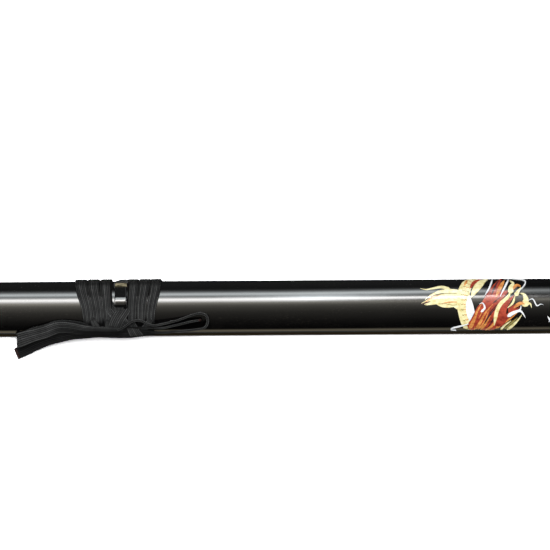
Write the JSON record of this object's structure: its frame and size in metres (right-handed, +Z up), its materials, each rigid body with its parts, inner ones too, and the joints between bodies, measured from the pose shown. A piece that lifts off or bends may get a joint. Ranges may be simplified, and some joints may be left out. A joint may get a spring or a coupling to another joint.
{
  "type": "sword scabbard",
  "caption": "Straight oval black-lacquered scabbard for a slim blade, with a collared mouth, an end cap, a raised cord knob and a flat cord wound round it and tied in a bow.",
  "frame": {"origin": "under the middle of the scabbard's length, on the surface it lies on", "axes": "+X along the scabbard from the mouth to the end cap, +Z up through the cord knob, the bow on the -Y side"},
  "size_m": [0.69, 0.0538, 0.0373],
  "materials": {
    "lacquer": "polished black lacquer over wood",
    "collar": "polished black",
    "cap": "polished black",
    "knob": "polished black",
    "cord": "flat ribbed braid, charcoal black",
    "cord_tip": "heat-sealed braid, dark red-brown",
    "decal": "thin printed transfer under the lacquer's gloss"
  },
  "bodies": {
    "root": {"wood_half_upper": "lacquer", "wood_half_lower": "lacquer", "mouth_collar": "collar", "end_cap": "cap", "cord_knob": "knob", "cord_turn_left_1": "cord", "cord_turn_left_2": "cord", "cord_turn_left_3": "cord", "cord_turn_right_1": "cord", "cord_turn_right_2": "cord", "cord_turn_right_3": "cord", "cord_through_knob": "cord", "cord_round_back": "cord", "cord_crossing_under": "cord", "cord_crossing_over": "cord", "cord_knot": "cord", "cord_strands_left": "cord", "cord_strands_right": "cord", "cord_loop_left": "cord", "cord_loop_right": "cord", "cord_end_left": "cord", "cord_end_right": "cord", "cord_tip_left": "cord_tip", "cord_tip_right": "cord_tip"}
  },
  "joints": []
}
